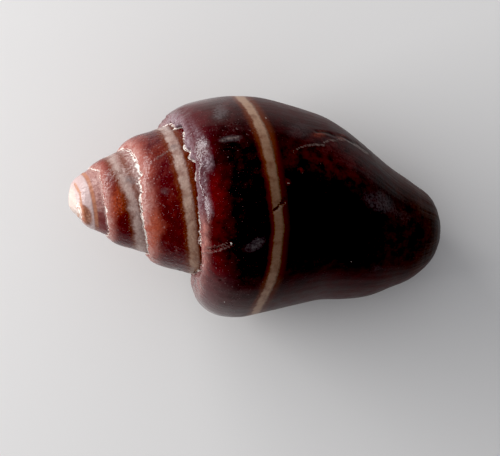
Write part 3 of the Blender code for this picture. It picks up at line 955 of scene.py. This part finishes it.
        # Soft pale marks: pale scuffs and painted reflections
        self.scuffs_and_reflections = self.times(self.fact("soft"), self.step(crumble, 0.35, 0.65, 0.2, 0.8))
        self.cover(self.scuffs_and_reflections, PALE_SCUFF_AND_REFLECTION)
        self.cover(self.step(scar, 0.02, 0.08, 0.9, 0.0), GROOVE_BROWN)
        self.cover(self.times(self.step(scar, 0.05, 0.16, 1.0, 0.0),
                              self.step(self.grain, 0.62, 0.70, 0.0, 0.8)), DUSTY_LINE)
        self.cover(self.times(self.step(self.fact("pale_line"), 0.02, 0.09, 1.0, 0.0),
                              self.step(crumble, 0.38, 0.62, 0.1, 0.85)), DUSTY_LINE)
        self.cover(self.step(self.fact("pit"), -0.06, 0.02, 1.0, 0.0), PIT_BROWN)
        self.cover(self.step(self.fact("notch"), 0.06, 0.11, 1.0, 0.0), NOTCH_BROWN)
        self.cover(self.step(self.fact("speck"), -0.03, 0.03, 0.8, 0.0), CRUMB)
        # Fine pale dots, stronger on the spire and near the sutures: painted glints
        glint_dots = self.noise(self.spot, DOT_SCALE, 2.0, 0.5)
        self.cover(self.times(self.step(glint_dots, 0.64, 0.74),
                              self.step(self.turn, 3.6, 4.1, 0.55, 0.25),
                              self.step(self.past, 3.5, 7.0, 1.0, 0.3)), PAINTED_GLINT)

    def lay_suture(self):
        """White crumbly edge along the sutures."""
        before = self.times(self.math("ABSOLUTE", self.fact("next")), 1.3)
        frayed = self.math("ADD", self.centred(self.grain, 0.5, 0.35),
                           self.centred(self.patchy, 0.45, 0.42))
        off = self.math("SUBTRACT", self.math("MINIMUM", self.past, before),
                        self.math("MAXIMUM", frayed, 0.02))
        self.crumbs = self.times(self.step(off, 0.04, 0.12, 1.0, 0.0),
                                 self.step(self.crumble, 0.40, 0.52),
                                 self.step(self.inside, 0.05, 0.1, 1.0, 0.0))
        self.cover(self.crumbs, CRUMB)

    def lay_apex(self):
        """A worn cream cap, then a lilac whorl with a brown stripe."""
        left = self.left
        early = self.math("ADD", self.turn, self.centred(self.patchy, 0.5, 0.2))
        first_whorl = self.step(early, 1.45, 1.65, 1.0, 0.0)
        near_suture = self.step(left, 0.5, 0.7, 1.0, 0.0)
        self.cover(self.times(first_whorl, self.step(self.orange, 0.1, 0.5, 1.0, 0.0),
                              self.step(left, 0.72, 0.88), 0.85), LILAC)
        self.cover(self.times(first_whorl, near_suture, 0.8), ROSE_BROWN)
        self.cover(self.times(self.step(early, 1.28, 1.36, 1.0, 0.0),
                              self.step(self.grain, 0.35, 0.6, 0.4, 0.9), near_suture), PINK_WEAR_AND_HIGHLIGHT)
        self.cover(self.times(self.step(left, 0.50, 0.62), self.step(left, 0.72, 0.84, 1.0, 0.0),
                              self.step(early, 1.40, 1.50, 0.8, 0.0)), STRIPE_BROWN)
        self.apex = self.step(self.turn, 0.84, 1.02, 1.0, 0.0)
        self.cover(self.apex, APEX_CREAM)
        self.cover(self.step(self.fact("brown_line"), 0.02, 0.12, 0.8, 0.0), BROWN_LINE)

    def lay_hollow(self):
        inner = self.mix(self.step(self.patchy, 0.35, 0.65), INNER_BROWN, INNER_PALE)
        self.cover(self.step(self.inside, 0.05, 0.8), inner)

    def polish(self):
        """Polished ground, duller towards the tip, on pale marks and painted reflections, and on
        wear and painted highlight.
        """
        dull = self.math("MAXIMUM", self.math("MAXIMUM", self.crumbs, self.scuffs_and_reflections),
                         self.times(self.wear_with_highlight, 0.12))
        gloss = self.step(self.patchy, 0.3, 0.7, 0.11, 0.19)
        gloss = self.math("ADD", gloss, self.step(self.turn, 3.9, 4.05, 0.11, 0.0))
        gloss = self.math("ADD", gloss, self.step(self.past, 2.0, 6.0, 0.0, 0.29))
        shine = self.math("ADD", gloss, self.times(dull, DULLNESS))
        self.put(self.surface.inputs["Roughness"], shine)
        self.surface.inputs["Specular IOR Level"].default_value = SPECULAR

    def roughen(self):
        """Relief too fine for the mesh."""
        normal = self.bump(self.streaks, STREAK_BUMP)
        normal = self.bump(self.grain, GRAIN_BUMP, normal)
        height = self.math("MAXIMUM", self.step(self.turn, 3.7, 4.1, 1.0, 0.12),
                           self.math("MAXIMUM", self.times(self.wear_with_highlight, 0.4), self.apex))
        pebbles = self.noise(self.spot, PEBBLE_SCALE, 1.0)
        normal = self.bump(self.times(pebbles, height), PEBBLE_BUMP, normal)
        crest = self.times(self.step(self.past, 0.4, 2.4, 1.0, 0.0), self.on_body)
        lumps = self.noise(self.spot, CREST_SCALE, 2.0)
        normal = self.bump(self.times(lumps, crest), CREST_BUMP, normal)
        self.put(self.surface.inputs["Normal"], normal)


def shell_material():
    material = bpy.data.materials.new("shell_gloss")
    paint = ShellPaint(material)
    paint.lay_ground()
    paint.lay_wear()
    paint.lay_band()
    paint.lay_marks()
    paint.lay_suture()
    paint.lay_apex()
    paint.lay_hollow()
    paint.put(paint.surface.inputs["Base Color"], paint.colour)
    paint.polish()
    paint.roughen()
    return material


# The shell

def make_shell():
    surface = Surface()
    lip_row, inner_lip_row = grow_outside(surface)
    grow_inside(surface, lip_row, inner_lip_row)
    facts = {name: np.array(values, float) for name, values in surface.facts.items()}
    points = lay_down(np.array(surface.points))
    normals = vertex_normals(points, surface.faces)
    marks = mark_upper_side(points, normals, facts["inside"])
    points = points + normals * relief(points, facts, marks)[:, None]
    points[:, 2] -= points[:, 2].min()

    mesh = bpy.data.meshes.new("mitre_shell")
    mesh.from_pydata([tuple(p) for p in points * MM], [], surface.faces)
    mesh.shade_smooth()
    band_place = np.interp(facts["turn"], BAND_TURNS, BAND_PLACES)
    facts["band"] = band_place - facts["left"] + facts["slid"]
    facts["next"] = np.where(facts["turn"] < LIP_TURN - 1.0, facts["left"], FAR)
    for name, values in {**facts, **marks}.items():
        layer = mesh.attributes.new(name, "FLOAT", "POINT")
        layer.data.foreach_set("value", values.astype(np.float32))
    shell = bpy.data.objects.new("mitre_shell", mesh)
    bpy.context.scene.collection.objects.link(shell)
    shell.data.materials.append(shell_material())
    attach(shell, "root")
    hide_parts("shell")


# Floor, light and camera

FLOOR_HALF = 0.8
FLOOR_COLOUR = (0.74, 0.725, 0.71)
WINDOW_WAY = (-0.87, 0.36, 0.39)
WINDOW_DISTANCE = 0.17
WINDOW_SIZE = (0.25, 0.034)
WINDOW_POWER = 0.49
ROOM_COLOUR = (0.93, 0.95, 1.0)
ROOM_BRIGHT_WAY = (-0.70, 0.68, 0.20)
ROOM_BRIGHT_LIGHT = 0.60
ROOM_DARK_LIGHT = 0.42
ROOM_LIGHT_EDGES = (0.0, 0.9)
BLACK_LEVEL = 0.018


def make_floor():
    mesh = bpy.data.meshes.new("floor")
    h = FLOOR_HALF
    mesh.from_pydata([(-h, -h, 0.0), (h, -h, 0.0), (h, h, 0.0), (-h, h, 0.0)], [], [(0, 1, 2, 3)])
    floor = bpy.data.objects.new("floor", mesh)
    bpy.context.scene.collection.objects.link(floor)
    material = bpy.data.materials.new("pale_floor")
    p = Paint(material)
    p.put(p.surface.inputs["Base Color"], FLOOR_COLOUR)
    p.surface.inputs["Roughness"].default_value = 0.95
    p.surface.inputs["Specular IOR Level"].default_value = 0.1
    mesh.materials.append(material)


def make_light():
    """One soft window low on the left, dim air around, and a black level on the view."""
    light = bpy.data.lights.new("window", "AREA")
    light.shape = "RECTANGLE"
    light.size, light.size_y = WINDOW_SIZE
    light.energy = WINDOW_POWER
    window = bpy.data.objects.new("window", light)
    way = Vector(WINDOW_WAY).normalized()
    window.location = way * WINDOW_DISTANCE
    window.rotation_euler = way.to_track_quat("Z", "Y").to_euler()
    window.visible_camera = False
    bpy.context.scene.collection.objects.link(window)
    world = bpy.data.worlds.new("room")
    world.use_nodes = True
    nodes, links = world.node_tree.nodes, world.node_tree.links
    background = nodes["Background"]
    background.inputs["Color"].default_value = ROOM_COLOUR + (1.0,)
    towards = nodes.new("ShaderNodeVectorMath")
    towards.operation = "DOT_PRODUCT"
    towards.inputs[1].default_value = ROOM_BRIGHT_WAY
    links.new(nodes.new("ShaderNodeTexCoord").outputs["Generated"], towards.inputs[0])
    light_there = nodes.new("ShaderNodeMapRange")
    light_there.interpolation_type = "SMOOTHSTEP"
    links.new(towards.outputs["Value"], light_there.inputs["Value"])
    for name, value in zip(("From Min", "From Max", "To Min", "To Max"),
                           ROOM_LIGHT_EDGES + (ROOM_DARK_LIGHT, ROOM_BRIGHT_LIGHT)):
        light_there.inputs[name].default_value = value
    links.new(light_there.outputs["Result"], background.inputs["Strength"])
    bpy.context.scene.world = world
    view = bpy.context.scene.view_settings
    view.view_transform = "Standard"
    view.use_curve_mapping = True
    view.curve_mapping.black_level = (BLACK_LEVEL,) * 3
    view.curve_mapping.update()


def make_camera():
    """Straight above the shell, framed as the photograph is."""
    camera = bpy.data.cameras.new("camera")
    camera.sensor_width = SENSOR_WIDTH
    camera.lens = SENSOR_WIDTH * CAMERA_DISTANCE / (PHOTO_WIDTH / PIXELS_PER_MM)
    camera.clip_start = 0.01
    thing = bpy.data.objects.new("camera", camera)
    x = (PHOTO_WIDTH / 2.0 - ORIGIN_PIXEL[0]) / PIXELS_PER_MM
    y = (ORIGIN_PIXEL[1] - PHOTO_HEIGHT / 2.0) / PIXELS_PER_MM
    thing.location = (x * MM, y * MM, (CAMERA_DISTANCE + FOCUS_HEIGHT) * MM)
    bpy.context.scene.collection.objects.link(thing)
    bpy.context.scene.camera = thing


make_shell()
make_floor()
make_light()
make_camera()
